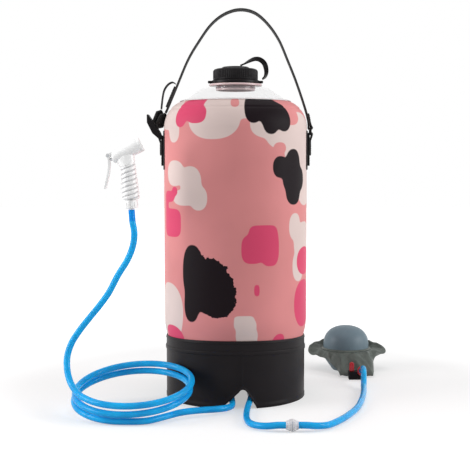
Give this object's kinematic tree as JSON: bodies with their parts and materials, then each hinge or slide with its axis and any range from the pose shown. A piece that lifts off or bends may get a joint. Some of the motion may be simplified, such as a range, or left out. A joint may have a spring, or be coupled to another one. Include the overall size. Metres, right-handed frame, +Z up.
{
  "type": "solar shower bag",
  "caption": "Standing soft pressure camp shower: round printed tank with screw cap, carry strap and base skirt, a hose with a trigger handset, and a foot pump on its own hose.",
  "frame": {"origin": "middle of the object's footprint box, hoses left out, on the surface it stands on", "axes": "+Z up along the tank, -Y towards the notch where the hoses come out, +X towards the foot pump"},
  "size_m": [0.48, 0.472, 0.5615],
  "materials": {
    "printed_pvc": "printed PVC coated fabric",
    "clear_pvc": "clear soft PVC",
    "black_pvc": "black PVC sheet",
    "neck_pvc": "pinkish soft PVC",
    "black_plastic": "moulded black plastic",
    "seal_rubber": "rubber gasket",
    "webbing": "woven black webbing",
    "off_white_abs": "off-white moulded plastic",
    "steel": "plain steel",
    "hose_blue": "see-through blue PVC hose",
    "valve_clear": "translucent white plastic",
    "slate_pvc": "slate grey soft PVC",
    "seam_pvc": "grey PVC sheet",
    "foam": "open foam",
    "red_plastic": "red moulded plastic"
  },
  "bodies": {
    "tank": {"tank_wall": "printed_pvc", "clear_shoulder": "clear_pvc", "shoulder_weld": "clear_pvc", "tank_floor": "black_pvc", "base_skirt": "black_pvc", "skirt_weld_band": "black_pvc", "left_patch": "black_pvc", "right_patch": "black_pvc", "filler_neck": "neck_pvc", "tether_ring": "black_plastic", "outlet_flange": "black_plastic", "outlet_elbow": "black_plastic", "inlet_flange": "black_plastic", "inlet_elbow": "black_plastic", "valve_block": "black_plastic", "handset_body": "off_white_abs", "spiral_grip": "off_white_abs", "spray_plate": "off_white_abs", "hose_ferrule": "off_white_abs", "lever_pin": "steel", "outlet_clamp": "steel", "inlet_clamp": "steel", "shower_hose_rise": "hose_blue", "shower_hose_coil": "hose_blue", "shower_hose_run": "hose_blue", "pump_hose_a": "hose_blue", "pump_hose_b": "hose_blue", "check_valve_inlet": "valve_clear", "check_valve_outlet": "valve_clear", "pump_pan": "slate_pvc", "pump_rim": "slate_pvc", "pump_bellows": "slate_pvc", "pump_brim": "seam_pvc", "return_foam": "foam", "red_collar": "red_plastic"},
    "carry_strap": {"carry_strap": "webbing", "strap_second_layer": "webbing", "strap_tail_loop": "webbing", "right_ring": "black_plastic", "right_tab": "webbing", "left_tab": "webbing"},
    "ladder_lock": {"ladder_lock": "black_plastic", "strap_wrap": "webbing"},
    "cap_tether": {"tether_button": "black_plastic", "tether_strap": "black_plastic"},
    "cap": {"screw_cap": "black_plastic", "cap_gasket": "seal_rubber"},
    "trigger": {"trigger_lever": "off_white_abs"},
    "plunger": {"plunger": "steel"},
    "hose_nut": {"hose_nut": "off_white_abs"},
    "pump_crown": {"pump_crown": "slate_pvc"},
    "port_plug": {"port_plug": "red_plastic"}
  },
  "joints": [
    {"name": "strap_swing", "type": "hinge", "parent": "tank", "child": "carry_strap", "pos_m": [-0.034, -0.0567, 0.35], "axis": [1, 0, 0], "range_deg": [-70, 70]},
    {"name": "lock_tilt", "type": "hinge", "parent": "carry_strap", "child": "ladder_lock", "pos_m": [-0.1427, -0.0567, 0.3775], "axis": [0, -1, 0], "range_deg": [0, 30]},
    {"name": "cap_lift", "type": "slide", "parent": "tank", "child": "cap_tether", "axis": [0, 0, 1], "range_m": [0, 0.0179]},
    {"name": "cap_turn", "type": "hinge", "parent": "cap_tether", "child": "cap", "pos_m": [-0.034, -0.0567, 0.4596], "axis": [0, 0, 1], "range_deg": [0, 1080]},
    {"name": "trigger_pull", "type": "hinge", "parent": "tank", "child": "trigger", "pos_m": [-0.20666, -0.1667, 0.35054], "axis": [0, -1, 0], "range_deg": [0, 16], "stiffness_Nm_per_rad": 0.6},
    {"name": "plunger_slide", "type": "slide", "parent": "tank", "child": "plunger", "axis": [0.8926, 0, 0.4509], "range_m": [0, 0.00178]},
    {"name": "nut_turn", "type": "hinge", "parent": "tank", "child": "hose_nut", "pos_m": [-0.1756, -0.1667, 0.2774], "axis": [-0.0698, 0, 0.9976], "continuous": true},
    {"name": "crown_press", "type": "slide", "parent": "tank", "child": "pump_crown", "axis": [0, 0, -1], "range_m": [0, 0.026], "stiffness_N_per_m": 1800, "deforming": ["pump_bellows", "return_foam"]},
    {"name": "plug_pull", "type": "slide", "parent": "tank", "child": "port_plug", "axis": [0, 0, 1], "range_m": [0, 0.012]}
  ],
  "couplings": [
    {"joint": "cap_turn", "follows": "cap_lift", "rad_per_m": 1052.6},
    {"joint": "trigger_pull", "follows": "plunger_slide", "rad_per_m": 156.25}
  ]
}
